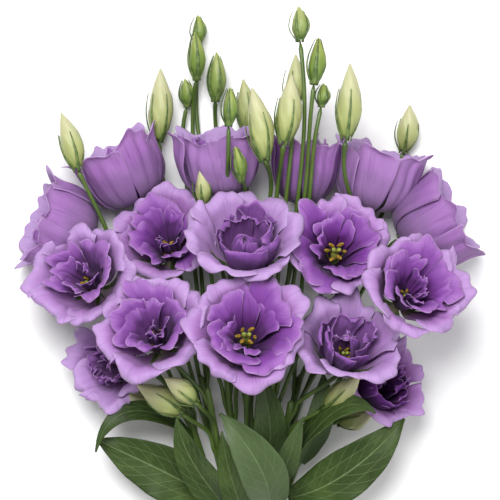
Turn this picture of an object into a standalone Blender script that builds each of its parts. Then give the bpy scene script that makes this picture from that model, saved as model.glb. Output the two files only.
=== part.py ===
"""A tied bunch of double lisianthus (Eustoma grandiflorum), cut and laid on its back.

Metres, +Z up. The stems run along Y from the cut ends to the buds, X is across the bunch and the open
flowers face up, away from the surface. The origin is the middle of the bunch's box, on that surface.

The bunch is laid out in millimetres in a working frame: y is 0 at the band that ties the stems, z is 0 on
the surface. Stems, stalks, flowers, buds and leaves are all made the same way, from a sphere whose rings of
latitude are moved along the plant part, so each one is a single closed body.
"""

import math

import bmesh
import bpy
import numpy as np
from mathutils import Vector

MM = 0.001

# ---- driving dimensions, in millimetres ----
STEM_RADIUS = 2.4          # main stem, at the cut end
STEM_TOP_RADIUS = 2.1      # main stem, where its flower stalks fork off
STALK_RADIUS = 1.15        # flower stalk
GAP = 0.4                  # clear space between neighbours that touch on the plant
CUT_Y = -170.0             # where the stems are cut, below the band
CUT_SPREAD = 1.7           # how much wider the stems stand at the cut ends than at the band
CUT_DROP = 1.5             # how much lower the bundle lies at the cut ends than at the band
BAND_WIDTH = 5.0
BAND_THICKNESS = 1.0
FLOWER_DEPTH = 34.0        # from the calyx to the face of an open flower
LEAF_THICKNESS = 0.9
SURFACE_CLEARANCE = 0.3
FORK_SPACING = 7.0         # along the stem, between one stalk's foot and the next
FORK_TURN = 52.0           # the least turn round the stem between two stalks, in degrees

# ---- how finely each kind of part is divided ----
FLOWER_SIDES = 10
STEM_SIDES = 8
STALK_SIDES = 6
STEM_RINGS = 11
STALK_RINGS = 10

# The stems pass through the band in three rows of 3, 4 and 3, as round stems pack.
PITCH = 2 * STEM_RADIUS + GAP + 0.1
ROW_RISE = PITCH * math.sin(math.radians(60))
BAND_FLOOR = STEM_RADIUS + (CUT_SPREAD - 1) * ROW_RISE + CUT_DROP
# name: (place in its row, row from the surface up), then the fork where its flower stalks start
STEMS = {
    "stem_01": ((-1.0, 2), (-26, 112, 42)),
    "stem_02": ((0.0, 2), (-2, 112, 47)),
    "stem_03": ((1.0, 2), (25, 104, 43)),
    "stem_04": ((-1.5, 1), (-40, 104, 28)),
    "stem_05": ((-0.5, 1), (-14, 118, 33)),
    "stem_06": ((0.5, 1), (14, 118, 33)),
    "stem_07": ((1.5, 1), (40, 102, 28)),
    "stem_08": ((-1.0, 0), (-30, 118, 14)),
    "stem_09": ((0.0, 0), (0, 122, 14)),
    "stem_10": ((1.0, 0), (30, 118, 14)),
}

# name: centre of the open face, the way it faces, radius of the face, the stem it grows on
FLOWERS = {
    "flower_01": ((-2, 150, 102), (0.0, 0.38, 0.92), 33, "stem_02"),
    "flower_02": ((-60, 151, 89.5), (-0.18, 0.40, 0.90), 31, "stem_01"),
    "flower_03": ((60, 145, 85), (0.15, 0.58, 0.80), 30, "stem_03"),
    "flower_04": ((53, 200, 70), (0.08, 0.38, 0.92), 30, "stem_06"),
    "flower_05": ((101, 175, 83), (0.35, 0.38, 0.85), 31, "stem_07"),
    "flower_06": ((-3, 207, 80), (0.0, 0.66, 0.75), 33, "stem_05"),
    "flower_07": ((-52, 205, 53), (-0.12, 0.42, 0.90), 29, "stem_05"),
    "flower_08": ((-103, 182, 63.5), (-0.28, 0.32, 0.90), 30, "stem_04"),
    "flower_09": ((85, 117, 44), (0.45, 0.25, 0.86), 26, "stem_07"),
    "flower_10": ((-88, 127, 46), (-0.50, 0.05, 0.86), 26, "stem_04"),
    "flower_11": ((-127, 212, 25.6), (-0.93, 0.30, 0.15), 27, "stem_08"),
    "flower_12": ((-83, 254, 25.2), (-0.45, 0.88, 0.10), 26, "stem_08"),
    "flower_13": ((-19, 259, 39), (-0.05, 0.98, 0.15), 28, "stem_09"),
    "flower_14": ((34, 254, 31), (0.05, 0.98, 0.10), 22, "stem_09"),
    "flower_15": ((80, 252, 28.2), (0.20, 0.97, 0.05), 24.5, "stem_10"),
    "flower_16": ((121, 218, 27.3), (0.85, 0.50, 0.12), 27, "stem_10"),
}

# name: tip, foot where the bud meets its stalk, radius, its stem, points that the stalk passes
BUDS = {
    "bud_01": ((-54.6, 306, 22), (-55.8, 262, 20), 7.6, "stem_08", [(-51, 226, 14)]),
    "bud_02": ((-114, 278, 46), (-104, 244, 47), 6.8, "stem_04", [(-88, 210, 36)]),
    "bud_03": ((-32.0, 339, 12), (-31.5, 322, 10), 4.5, "stem_09", [(-31, 262, 4)]),
    "bud_04": ((-33.6, 328, 24), (-32.5, 300, 20), 5.0, "stem_08", [(-35, 262, 4)]),
    "bud_05": ((-20.4, 316, 20), (-21.0, 287, 16), 5.4, "stem_09", [(-20, 262, 4)]),
    "bud_06": ((-40.0, 300, 12), (-38.5, 284, 9), 4.2, "stem_08", [(-41, 262, 6)]),
    "bud_07": ((-12.0, 292, 78), (-12.6, 270, 76), 4.5, "stem_02", [(-13, 246, 70), (-13, 222, 46)]),
    "bud_08": ((-4.2, 300, 12), (-1.8, 267, 9), 6.0, "stem_09", [(-2, 240, 8)]),
    "bud_09": ((1.2, 292, 74), (9.0, 249, 72), 7.8, "stem_05", [(12, 224, 44)]),
    "bud_10": ((25.0, 300, 72), (20.4, 259, 70), 7.8, "stem_06", [(16, 224, 44)]),
    "bud_11": ((27.6, 313, 52), (26.0, 280, 50), 6.2, "stem_06", [(25, 254, 56), (22, 226, 46)]),
    "bud_12": ((29.0, 341, 66), (30.0, 321, 67), 5.6, "stem_06", [(33, 279, 66), (29, 224, 44)]),
    "bud_13": ((41.0, 322, 72), (38.4, 295, 73), 5.2, "stem_06", [(36, 273, 70), (33, 226, 46)]),
    "bud_14": ((44.0, 295, 62), (43.0, 282, 62), 4.0, "stem_10", [(39, 262, 62), (36, 226, 46)]),
    "bud_15": ((60.0, 307, 64), (57.6, 262, 65), 7.6, "stem_10", [(57, 238, 54), (68, 202, 28), (54, 160, 16)]),
    "bud_16": ((97.8, 284, 16), (94.5, 256, 8), 6.8, "stem_10", [(89, 236, 2), (76, 206, 3)]),
    "bud_17": ((-9.0, 257, 74), (-5.0, 237, 68), 4.2, "stem_02", [(-2, 222, 44)]),
    "bud_18": ((-30, 244, 56), (-28, 222, 48), 5.0, "stem_05", [(-27, 205, 38)]),
    "bud_19": ((-79, 112, 20), (-49, 93, 18), 7.4, "stem_04", []),
    "bud_20": ((-68, 114, 58), (-42, 97, 52), 7.6, "stem_01", []),
    "bud_21": ((-51, 119, 76), (-33, 104, 66), 6.4, "stem_01", []),
    "bud_22": ((66, 121, 67), (46, 101, 52), 6.6, "stem_03", []),
    "bud_23": ((76, 96, 22), (54, 90, 20), 6.8, "stem_07", []),
}

# name: its stem, height of its foot, middle and tip of the midrib, half width, the way its face looks
LEAVES = {
    "leaf_01": ("stem_04", 42, (-55, 60, 30), (-93, 80, 34), 15, (0.10, -0.25, 0.95)),
    "leaf_02": ("stem_04", 80, (-72, 100, 46), (-93, 73, 44), 5, (0.30, 0.75, 0.60)),
    "leaf_03": ("stem_01", 34, (-35, 66, 50), (-44, 94, 62), 10, (-0.25, -0.20, 0.94)),
    "leaf_04": ("stem_03", 38, (4, 66, 62), (-18, 97, 64), 13, (0.15, 0.05, 0.98)),
    "leaf_05": ("stem_07", 44, (62, 64, 38), (93, 93, 40), 14, (-0.10, -0.25, 0.95)),
    "leaf_06": ("stem_03", 62, (60, 105, 68), (82, 89, 60), 3, (0.30, 0.75, 0.60)),
    "leaf_07": ("stem_07", 66, (42, 98, 36), (44, 121, 43), 8, (0.30, -0.20, 0.92)),
    "leaf_08": ("stem_03", 52, (25, 76, 55), (32, 95, 62), 6, (-0.20, -0.20, 0.95)),
    "leaf_09": ("stem_06", 68, (11, 94, 52), (6, 121, 53), 9, (0.10, -0.20, 0.97)),
    "leaf_10": ("stem_02", 26, (-12, 58, 50), (-17, 86, 58), 8, (-0.30, -0.10, 0.95)),
}

# share of the flower's depth, share of its face radius: the outer wall, up from the calyx, then over the
# rim and down past the inner petals into the throat
OUTER_WALL = ((0.02, 0.10), (0.10, 0.24), (0.28, 0.44), (0.56, 0.64), (0.81, 0.84), (0.95, 1.00))
INNER_WALL = ((1.00, 0.96), (0.92, 0.74), (0.99, 0.58), (0.86, 0.40), (0.58, 0.20))
THROAT = 0.44
PETALS = 5
# share of the bud's length, share of its radius
BUD_PROFILE = ((0.0, 0.20), (0.05, 0.52), (0.22, 0.92), (0.42, 1.00), (0.68, 0.66), (0.90, 0.24))
# share of the leaf's length, share of its half width
LEAF_PROFILE = ((0.0, 0.10), (0.10, 0.42), (0.25, 0.80), (0.42, 1.0), (0.58, 0.95), (0.74, 0.70), (0.88, 0.38))

COLOURS = {
    "petal": (0.42, 0.22, 0.62),
    "bud": (0.62, 0.70, 0.34),
    "stem": (0.16, 0.28, 0.09),
    "leaf": (0.13, 0.22, 0.10),
    "band": (0.55, 0.42, 0.24),
}


def unit(v):
    v = np.asarray(v, float)
    return v / np.linalg.norm(v)


def start_afresh():
    for obj in list(bpy.data.objects):
        bpy.data.objects.remove(obj)
    bunch = bpy.data.collections.new("lisianthus_bunch")
    bpy.context.scene.collection.children.link(bunch)
    return bunch


def finish_material(name, roughness):
    made = bpy.data.materials.new(name)
    made.use_nodes = True
    shader = made.node_tree.nodes["Principled BSDF"]
    shader.inputs["Base Color"].default_value = (*COLOURS[name], 1)
    shader.inputs["Roughness"].default_value = roughness
    shader.inputs["Metallic"].default_value = 0
    return made


# ---- paths and frames ----
def spline(points, count):
    """count points, evenly spread, on a smooth curve through the given points."""
    p = np.array(points, float)
    p = np.vstack([2 * p[0] - p[1], p, 2 * p[-1] - p[-2]])
    fine = []
    for a, b, c, d in zip(p, p[1:], p[2:], p[3:]):
        for t in np.linspace(0, 1, 24, endpoint=False):
            fine.append(0.5 * (2 * b + (c - a) * t + (2 * a - 5 * b + 4 * c - d) * t**2
                               + (3 * b - a - 3 * c + d) * t**3))
    fine.append(p[-2])
    fine = np.array(fine)
    run = np.concatenate([[0], np.cumsum(np.linalg.norm(np.diff(fine, axis=0), axis=1))])
    wanted = np.linspace(0, run[-1], count)
    return np.column_stack([np.interp(wanted, run, fine[:, k]) for k in range(3)])


def frames_along(path, first_side):
    """The tangent and two sides at each point, with as little twist as the path allows."""
    tangents = np.gradient(path, axis=0)
    tangents /= np.linalg.norm(tangents, axis=1)[:, None]
    side = np.asarray(first_side, float)
    frames = []
    for t in tangents:
        side = unit(side - t * (side @ t))
        frames.append((t, side, np.cross(t, side)))
    return frames


def round_ring(centre, frame, radius, sides):
    _, u, v = frame
    turns = np.arange(sides) * 2 * math.pi / sides
    return [centre + radius * (math.cos(a) * u + math.sin(a) * v) for a in turns]


def body_from_rings(name, foot, rings, tip, material, collection):
    """A sphere whose rings of latitude are moved to the given rings, and its poles to foot and tip."""
    sides, bands = len(rings[0]), len(rings) + 1
    mesh = bpy.data.meshes.new(name)
    shape = bmesh.new()
    bmesh.ops.create_uvsphere(shape, u_segments=sides, v_segments=bands, radius=1)
    for vert in shape.verts:
        latitude = round(math.acos(max(-1.0, min(1.0, vert.co.z))) * bands / math.pi)
        longitude = round(math.atan2(vert.co.y, vert.co.x) * sides / (2 * math.pi)) % sides
        ring = bands - latitude
        if ring == 0:
            place = foot
        elif ring == bands:
            place = tip
        else:
            place = rings[ring - 1][longitude]
        vert.co = Vector(place) * MM
    shape.to_mesh(mesh)
    shape.free()
    mesh.shade_smooth()
    mesh.materials.append(material)
    obj = bpy.data.objects.new(name, mesh)
    collection.objects.link(obj)
    return obj


# ---- where everything runs ----
def band_place(place):
    across, row = place
    return np.array([across * PITCH, 0.0, BAND_FLOOR + row * ROW_RISE])


def stem_paths():
    """Each main stem's centreline, cut end first: it widens from the band both ways."""
    middle = band_place((0, 1))
    paths = {}
    for name, (place, fork) in STEMS.items():
        tied = band_place(place)
        cut = middle + (tied - middle) * CUT_SPREAD
        cut[1] = CUT_Y
        cut[2] -= CUT_DROP
        fork = np.array(fork, float)
        half = tied + (fork - tied) * 0.5
        half[2] -= 1.5
        paths[name] = spline([cut, tied, half, fork], STEM_RINGS)
    return paths


def stem_radius(share):
    return STEM_RADIUS + (STEM_TOP_RADIUS - STEM_RADIUS) * share


def flower_calyx(name):
    face, way, *_ = FLOWERS[name]
    return np.array(face) - FLOWER_DEPTH * unit(way)


def spread_turns(turns, least):
    """Sorted angles, in degrees, pushed apart round the circle to stand at least so far from each other."""
    turns = np.array(turns, float)
    for _ in range(200):
        following = np.roll(turns, -1)
        following[-1] += 360
        push = np.maximum(least - (following - turns), 0) / 2
        turns = turns - push + np.roll(push, 1)
    return turns


def stalk_feet(stem_path, targets):
    """The first two points of each stalk of a stem: the stalks leave it one above another, turned apart."""
    along = unit(stem_path[-1] - stem_path[-2])
    across = unit(np.cross(along, (0, 0, 1)))
    upward = np.cross(across, along)
    aims = {name: target - stem_path[-1] for name, target in targets.items()}
    turn = {name: math.degrees(math.atan2(aim @ upward, aim @ across)) for name, aim in aims.items()}
    names = sorted(turn, key=turn.get)
    least = min(FORK_TURN, 360 / len(names) - 1)
    turn = dict(zip(names, spread_turns([turn[name] for name in names], least)))
    run = np.concatenate([[0], np.cumsum(np.linalg.norm(np.diff(stem_path, axis=0), axis=1))])
    feet = {}
    for place, name in enumerate(sorted(targets, key=lambda name: -targets[name][1])):
        below = max(3.0 + FORK_SPACING * place, stem_path[-1][1] - targets[name][1] + 22)
        outward = math.cos(math.radians(turn[name])) * across + math.sin(math.radians(turn[name])) * upward
        beside = outward * (stem_radius(1 - below / run[-1]) + STALK_RADIUS + GAP - 0.1)
        foot, second = (
            beside + [np.interp(run[-1] - down, run, stem_path[:, k]) for k in range(3)]
            for down in (below, max(below - 12, 0.5))
        )
        feet[name] = [foot, second + outward * 1.2]
    return feet


def stalk_paths(stems):
    """Each stalk, from its stem to the calyx, before the stalks make room for each other."""
    routes = {}
    for name, (_, way, _, stem) in FLOWERS.items():
        calyx = flower_calyx(name)
        routes[name] = (stem, [calyx - 9 * unit(way), calyx])
    for name, (tip, calyx, _, stem, passing) in BUDS.items():
        calyx = np.array(calyx, float)
        below = calyx - 4 * unit(np.array(tip) - calyx)
        routes[name] = (stem, [*map(np.array, passing[::-1]), below, calyx])
    paths = {}
    for stem, stem_path in stems.items():
        targets = {name: route[0] for name, (own, route) in routes.items() if own == stem}
        for name, feet in stalk_feet(stem_path, targets).items():
            paths[name] = spline(feet + routes[name][1], STALK_RINGS + 1)
    return paths


# ---- the stalks make room for each other ----
def closest(p, q, r, s):
    """Shares along segments p-q and r-s where each pair comes closest, for arrays of segments."""
    d1, d2, w = q - p, s - r, p - r
    a, e, f = (d1 * d1).sum(1), (d2 * d2).sum(1), (d2 * w).sum(1)
    b, c = (d1 * d2).sum(1), (d1 * w).sum(1)
    det = a * e - b * b
    u = np.clip(np.where(det > 1e-9, (b * f - c * e) / np.maximum(det, 1e-9), 0.5), 0, 1)
    v = np.clip((b * u + f) / np.maximum(e, 1e-9), 0, 1)
    u = np.clip((b * v - c) / np.maximum(a, 1e-9), 0, 1)
    return u, v


def push_off_flowers(p, first, owner):
    """How far each point must move for its stalk to clear the cups of all flowers but its own."""
    depths, widths = zip(*OUTER_WALL)
    shift = np.zeros_like(p)
    for name, (_, way, size, _) in FLOWERS.items():
        way, calyx = unit(way), flower_calyx(name)
        others = first[[owner[k] not in (name, None) for k in first]]
        for share in (0.0, 0.25, 0.5, 0.75):
            at = p[others] * (1 - share) + p[others + 1] * share
            depth = (at - calyx) @ way
            out = at - calyx - depth[:, None] * way
            away = np.linalg.norm(out, axis=1)
            wanted = np.interp(depth / FLOWER_DEPTH, depths, widths) * size * 1.05 + STALK_RADIUS + 0.8
            inside = (depth > -1) & (depth < FLOWER_DEPTH + 2) & (away < wanted)
            push = np.where(inside, wanted - away, 0)[:, None] * out / np.maximum(away, 1e-6)[:, None]
            np.add.at(shift, others, push * (1 - share))
            np.add.at(shift, others + 1, push * share)
    return shift


def make_room(stems, stalks, rounds=240, settling=60):
    """Moves the stalks apart until each clears its neighbours, the buds, the flowers and the surface."""
    chains = []
    for path in stems.values():
        chains.append((None, path, stem_radius(np.linspace(0, 1, len(path)))))
    for name, (tip, calyx, size, *_) in BUDS.items():
        shares, widths = np.array(BUD_PROFILE).T
        chains.append((None, np.array(calyx) + shares[:, None] * np.subtract(tip, calyx), widths * size))
    for name, path in stalks.items():
        chains.append((name, path, np.full(len(path), STALK_RADIUS)))
    p = np.vstack([path for _, path, _ in chains])
    radius = np.concatenate([radii for *_, radii in chains])
    owner = [name for name, path, _ in chains for _ in path]
    chain = np.repeat(range(len(chains)), [len(path) for _, path, _ in chains])
    free = np.concatenate([np.r_[0, np.ones(len(path) - 3), 0, 0] * (name is not None)
                           for name, path, _ in chains])[:, None]
    first = np.nonzero(chain[:-1] == chain[1:])[0]
    start = p.copy()
    for step in range(rounds):
        if step % 10 == 0:
            middle = (p[first] + p[first + 1]) / 2
            reach = np.linalg.norm(p[first] - p[first + 1], axis=1) / 2 + radius[first]
            apart = np.linalg.norm(middle[:, None] - middle[None], axis=2) - reach[:, None] - reach[None]
            near = (apart < 8) & (chain[first][:, None] < chain[first][None])
            i, j = (first[k] for k in np.nonzero(near))
        u, v = (share[:, None] for share in closest(p[i], p[i + 1], p[j], p[j + 1]))
        away = p[i] * (1 - u) + p[i + 1] * u - p[j] * (1 - v) - p[j + 1] * v
        gap = np.linalg.norm(away, axis=1)[:, None]
        wanted = GAP + 0.1 + (radius[i, None] * (1 - u) + radius[i + 1, None] * u
                              + radius[j, None] * (1 - v) + radius[j + 1, None] * v)
        push = np.maximum(wanted - gap, 0) * away / np.maximum(gap, 1e-6) * 0.5
        shift = push_off_flowers(p, first, owner) * 0.5
        for index, share, sign in ((i, 1 - u, 1), (i + 1, u, 1), (j, 1 - v, -1), (j + 1, v, -1)):
            np.add.at(shift, index, sign * push * share)
        if step < rounds - settling:
            moved = p - start
            shift[1:-1] += 0.25 * ((moved[:-2] + moved[2:]) / 2 - moved[1:-1])
        p = p + np.clip(shift, -1.5, 1.5) * free
        low = free[:, 0] * np.maximum(STALK_RADIUS + SURFACE_CLEARANCE - p[:, 2], 0)
        p[:, 2] += low
    return {name: p[chain == number] for number, (name, *_) in enumerate(chains) if name}


# ---- the parts ----
def add_stem(name, path, material, collection):
    frames = frames_along(path, (1, 0, 0))
    rings = []
    for k, (centre, frame) in enumerate(zip(path, frames)):
        rings.append(round_ring(centre, frame, stem_radius(k / (len(path) - 1)), STEM_SIDES))
    foot = path[0] - frames[0][0] * 0.2
    tip = path[-1] + frames[-1][0] * 1.0
    return body_from_rings(name, foot, rings, tip, material, collection)


def stalk_rings(path, sides):
    """Rings for the stalk below a flower or bud, and the frame at its top."""
    frames = frames_along(path, (1, 0, 0))
    rings = [round_ring(centre, frame, STALK_RADIUS, sides) for centre, frame in zip(path[:-1], frames)]
    foot = path[0] - frames[0][0] * 0.6
    return foot, rings, frames[-1]


def frame_facing(way, side):
    way = unit(way)
    side = unit(side - way * (side @ way))
    return way, side, np.cross(way, side)


def add_flower(name, path, material, collection):
    """An open flower on its stalk: a cup with lobed rims, filled by its inner petals down to the throat."""
    _, way, size, _ = FLOWERS[name]
    calyx = flower_calyx(name)
    foot, rings, top = stalk_rings(path, FLOWER_SIDES)
    way, across, up = frame_facing(way, top[1])
    turns = np.arange(FLOWER_SIDES) * 2 * math.pi / FLOWER_SIDES
    for depth, width in OUTER_WALL + INNER_WALL:
        ring = []
        for turn in turns:
            lobe = 0.05 * math.cos(PETALS * turn)
            out = math.cos(turn) * across + math.sin(turn) * up
            rise = way * FLOWER_DEPTH * (depth - lobe * width**2)
            ring.append(calyx + rise + out * size * width * (1 + lobe))
        rings.append(ring)
    return body_from_rings(name, foot, rings, calyx + way * FLOWER_DEPTH * THROAT, material, collection)


def add_bud(name, path, material, collection):
    """A closed bud on its stalk."""
    tip, calyx, size, *_ = BUDS[name]
    tip, calyx = np.array(tip, float), np.array(calyx, float)
    foot, rings, top = stalk_rings(path, STALK_SIDES)
    frame = frame_facing(tip - calyx, top[1])
    for share, width in BUD_PROFILE:
        rings.append(round_ring(calyx + share * (tip - calyx), frame, width * size, STALK_SIDES))
    return body_from_rings(name, foot, rings, tip, material, collection)


def add_leaf(name, stems, material, collection):
    """A stemless leaf: a thin blade, folded a little along its midrib."""
    stem, height, middle, tip, half_width, face = LEAVES[name]
    path = stems[stem]
    on_stem = np.array([np.interp(height, path[:, 1], path[:, k]) for k in range(3)])
    face = unit(face)
    outward = unit(np.array([middle[0] - on_stem[0], 0, middle[2] - on_stem[2]]))
    root = on_stem + outward * (STEM_RADIUS + LEAF_THICKNESS / 2 + GAP + 0.02 * half_width)
    rib = spline([root, np.array(middle, float), np.array(tip, float)], 40)
    tangents = np.gradient(rib, axis=0)
    rings = []
    for share, width in LEAF_PROFILE:
        at = share * (len(rib) - 1)
        centre = np.array([np.interp(at, range(len(rib)), rib[:, k]) for k in range(3)])
        along = unit(np.array([np.interp(at, range(len(rib)), tangents[:, k]) for k in range(3)]))
        up = unit(face - along * (face @ along))
        right = np.cross(up, along)
        reach, thick = half_width * width, LEAF_THICKNESS / 2
        edge_up = up * (0.16 * reach)
        rings.append([
            centre + right * reach + edge_up - up * thick * 0.6,
            centre + right * reach + edge_up + up * thick * 0.6,
            centre + up * thick,
            centre - right * reach + edge_up + up * thick * 0.6,
            centre - right * reach + edge_up - up * thick * 0.6,
            centre - up * thick,
        ])
    return body_from_rings(name, root - unit(tangents[0]) * 0.5, rings, rib[-1], material, collection)


def add_band(material, collection):
    """The flat elastic band, drawn taut round the outer stems."""
    centres = np.array([band_place(place) for place, _ in STEMS.values()])[:, [0, 2]]
    reach = STEM_RADIUS + GAP + 0.1 + BAND_THICKNESS / 2
    curve = bpy.data.curves.new("band", "CURVE")
    curve.dimensions = "3D"
    curve.fill_mode = "FULL"
    curve.extrude = (BAND_WIDTH - BAND_THICKNESS) / 2 * MM
    curve.bevel_depth = BAND_THICKNESS / 2 * MM
    curve.bevel_resolution = 0
    outline = curve.splines.new("POLY")
    turns = np.arange(36) * 2 * math.pi / 36 + 0.05
    outline.points.add(len(turns) - 1)
    for point, turn in zip(outline.points, turns):
        way = np.array([math.cos(turn), math.sin(turn)])
        x, z = centres[np.argmax(centres @ way)] + reach * way
        point.co = (x * MM, z * MM, 0, 1)
    outline.use_cyclic_u = True
    curve.materials.append(material)
    obj = bpy.data.objects.new("band", curve)
    obj.rotation_euler = (math.pi / 2, 0, 0)
    collection.objects.link(obj)
    return obj


def rest_on_the_origin(objects):
    """Moves the bunch so that the middle of its box's underside is the origin."""
    bpy.context.view_layer.update()
    graph = bpy.context.evaluated_depsgraph_get()
    corners = []
    for obj in objects:
        seen = obj.evaluated_get(graph)
        shape = seen.to_mesh()
        corners += [obj.matrix_world @ vert.co for vert in shape.vertices]
        seen.to_mesh_clear()
    corners = np.array(corners)
    low, high = corners.min(0), corners.max(0)
    shift = Vector((-(low[0] + high[0]) / 2, -(low[1] + high[1]) / 2, -low[2]))
    for obj in objects:
        if obj.type == "MESH":
            for vert in obj.data.vertices:
                vert.co += shift
        else:
            obj.location += shift
    print("the bunch was moved by, in mm:", [round(x / MM, 2) for x in shift])


def main():
    bunch = start_afresh()
    petal = finish_material("petal", 0.55)
    green_bud = finish_material("bud", 0.5)
    stem_green = finish_material("stem", 0.5)
    leaf_green = finish_material("leaf", 0.6)
    band = finish_material("band", 0.7)

    stems = stem_paths()
    stalks = make_room(stems, stalk_paths(stems))
    made = [add_stem(name, path, stem_green, bunch) for name, path in stems.items()]
    made += [add_flower(name, stalks[name], petal, bunch) for name in FLOWERS]
    made += [add_bud(name, stalks[name], green_bud, bunch) for name in BUDS]
    made += [add_leaf(name, stems, leaf_green, bunch) for name in LEAVES]
    made.append(add_band(band, bunch))
    rest_on_the_origin(made)


main()
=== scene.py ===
# %% [markdown]
# A tied bunch of double lisianthus lies on its back on a pale table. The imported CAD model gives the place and
# size of every flower, bud, leaf and stem. This script reads those places and grows the real shapes there:
# ruffled petals, twisted buds, veined leaves and smooth stalks.

import math

import bmesh
import bpy
import numpy as np
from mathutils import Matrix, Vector


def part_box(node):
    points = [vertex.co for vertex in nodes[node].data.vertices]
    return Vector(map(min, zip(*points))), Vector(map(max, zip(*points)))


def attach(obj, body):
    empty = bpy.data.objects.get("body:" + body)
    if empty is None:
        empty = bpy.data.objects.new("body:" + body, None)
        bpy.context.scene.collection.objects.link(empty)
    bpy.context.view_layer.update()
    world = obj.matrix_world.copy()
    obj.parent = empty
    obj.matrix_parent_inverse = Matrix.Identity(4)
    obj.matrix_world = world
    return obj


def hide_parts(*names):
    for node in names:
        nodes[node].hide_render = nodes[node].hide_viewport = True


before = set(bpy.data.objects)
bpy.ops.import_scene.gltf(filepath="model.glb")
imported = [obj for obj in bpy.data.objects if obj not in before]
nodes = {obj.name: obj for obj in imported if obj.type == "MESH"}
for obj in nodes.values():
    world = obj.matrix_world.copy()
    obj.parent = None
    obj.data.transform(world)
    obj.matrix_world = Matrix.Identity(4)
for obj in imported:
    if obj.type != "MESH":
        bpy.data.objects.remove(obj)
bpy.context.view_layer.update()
rng = np.random.default_rng(11)  # one seeded source, so that every run grows the same petals
MM = 0.001
MERGE_DISTANCE = 0.02 * MM
print("the frame has", len(nodes), "nodes")

# %% [markdown]
# Every CAD plant part is a tube of rings between two poles. Walking its edges outward from the tip meets one
# ring after another, so the rings' centres give the part's middle line without any measured numbers.

# %% Read the rings of a CAD part
def unit(v):
    v = np.asarray(v, float)
    return v / np.linalg.norm(v)


def merged(node):
    """A working copy of a CAD node with its loose triangles joined at their corners."""
    shape = bmesh.new()
    shape.from_mesh(nodes[node].data)
    bmesh.ops.remove_doubles(shape, verts=shape.verts, dist=MERGE_DISTANCE)
    shape.verts.index_update()
    return shape


def walk(start):
    """The vertices met edge by edge from a start, one list for each step."""
    seen, layer, layers = {start.index}, [start], []
    while layer:
        layers.append(layer)
        following = []
        for vert in layer:
            for edge in vert.link_edges:
                other = edge.other_vert(vert)
                if other.index not in seen:
                    seen.add(other.index)
                    following.append(other)
        layer = following
    return layers


def rings_of(node):
    """The node's rings in order, from the foot of the stalk to the tip or throat."""
    shape = merged(node)
    tip = walk(min(shape.verts, key=lambda vert: vert.co.y))[-1][0]
    rings = [np.array([vert.co[:] for vert in layer]) for layer in walk(tip)][::-1]
    shape.free()
    return rings


print("flower_01 has", len(rings_of("flower_01")), "rings, bud_01", len(rings_of("bud_01")))

# %% [markdown]
# Shader maths reads best as Python. A small class wraps a node socket, so that adding or multiplying two of
# them makes the Math node, and one method makes any other node with its settings and inputs.

# %% A wrapper for sockets
class Value:
    """One output socket that can be added, subtracted and multiplied like a number."""

    def __init__(self, finish, socket):
        self.finish, self.socket = finish, socket

    def join(self, operation, a, b):
        return self.finish.node("Math", {"operation": operation}, {0: a, 1: b})

    def __add__(self, other):
        return self.join("ADD", self, other)

    def __sub__(self, other):
        return self.join("SUBTRACT", self, other)

    def __rsub__(self, other):
        return self.join("SUBTRACT", other, self)

    def __mul__(self, other):
        return self.join("MULTIPLY", self, other)

    __radd__, __rmul__ = __add__, __mul__


class Finish:
    """A material and the means to add nodes to it."""

    def __init__(self, name, **constants):
        self.material = bpy.data.materials.new(name)
        self.material.use_nodes = True
        self.tree = self.material.node_tree
        self.shader = self.tree.nodes["Principled BSDF"]
        for socket, value in constants.items():
            self.shader.inputs[socket.replace("_", " ")].default_value = value

    def node(self, kind, settings=None, inputs=None, output=0):
        made = self.tree.nodes.new("ShaderNode" + kind)
        for key, value in (settings or {}).items():
            setattr(made, key, value)
        for key, value in (inputs or {}).items():
            self.feed(made.inputs[key], value)
        return Value(self, made.outputs[output])

    def feed(self, socket, value):
        if isinstance(value, Value):
            self.tree.links.new(value.socket, socket)
        else:
            socket.default_value = value

    def ramp(self, factor, stops):
        """A colour ramp through (place, colour) stops, eased between them."""
        made = self.tree.nodes.new("ShaderNodeValToRGB")
        made.color_ramp.interpolation = "EASE"
        points = made.color_ramp.elements
        while len(points) < len(stops):
            points.new(0.5)
        for point, (place, colour) in zip(points, stops):
            point.position, point.color = place, (*colour, 1)
        self.feed(made.inputs[0], factor)
        return Value(self, made.outputs[0])

    def mix(self, factor, first, second, blend="MIX"):
        made = self.tree.nodes.new("ShaderNodeMix")
        made.data_type, made.blend_type = "RGBA", blend
        self.feed(made.inputs[0], factor)
        for socket, value in ((made.inputs[6], first), (made.inputs[7], second)):
            self.feed(socket, value if isinstance(value, Value) else (*value, 1))
        return Value(self, made.outputs[2])

    def noise(self, vector, scale, detail=3.0):
        return self.node("TexNoise", None, {"Vector": vector, "Scale": scale, "Detail": detail})

    def band(self, value, low, high):
        """0 below low, 1 above high, smooth between."""
        settings = {"interpolation_type": "SMOOTHSTEP"}
        return self.node("MapRange", settings, {"Value": value, "From Min": low, "From Max": high})

    def paint(self, colour):
        self.feed(self.shader.inputs["Base Color"], colour)

    def bump(self, height, strength, distance):
        normal = self.node("Bump", None, {"Strength": strength, "Distance": distance, "Height": height})
        self.feed(self.shader.inputs["Normal"], normal)

    def surface(self):
        """The places across (u) and along (v) the piece's own UV map."""
        uv = self.node("UVMap")
        return self.node("SeparateXYZ", None, {0: uv}, 0), self.node("SeparateXYZ", None, {0: uv}, 1)

    def places(self):
        """Object coordinates, which are the same as places in the frame."""
        return self.node("TexCoord", None, None, 3)

    def attribute(self, name):
        return self.node("Attribute", {"attribute_name": name}, None, 2)

    def size_of(self, value):
        return self.node("Math", {"operation": "ABSOLUTE"}, {0: value})

    def stretched_noise(self, across, along, third=0.0, detail=2.0):
        """Noise drawn out into lines, because it changes faster across than along."""
        at = self.node("CombineXYZ", None, {0: across, 1: along, 2: third})
        return self.noise(at, 1.0, detail)


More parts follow.
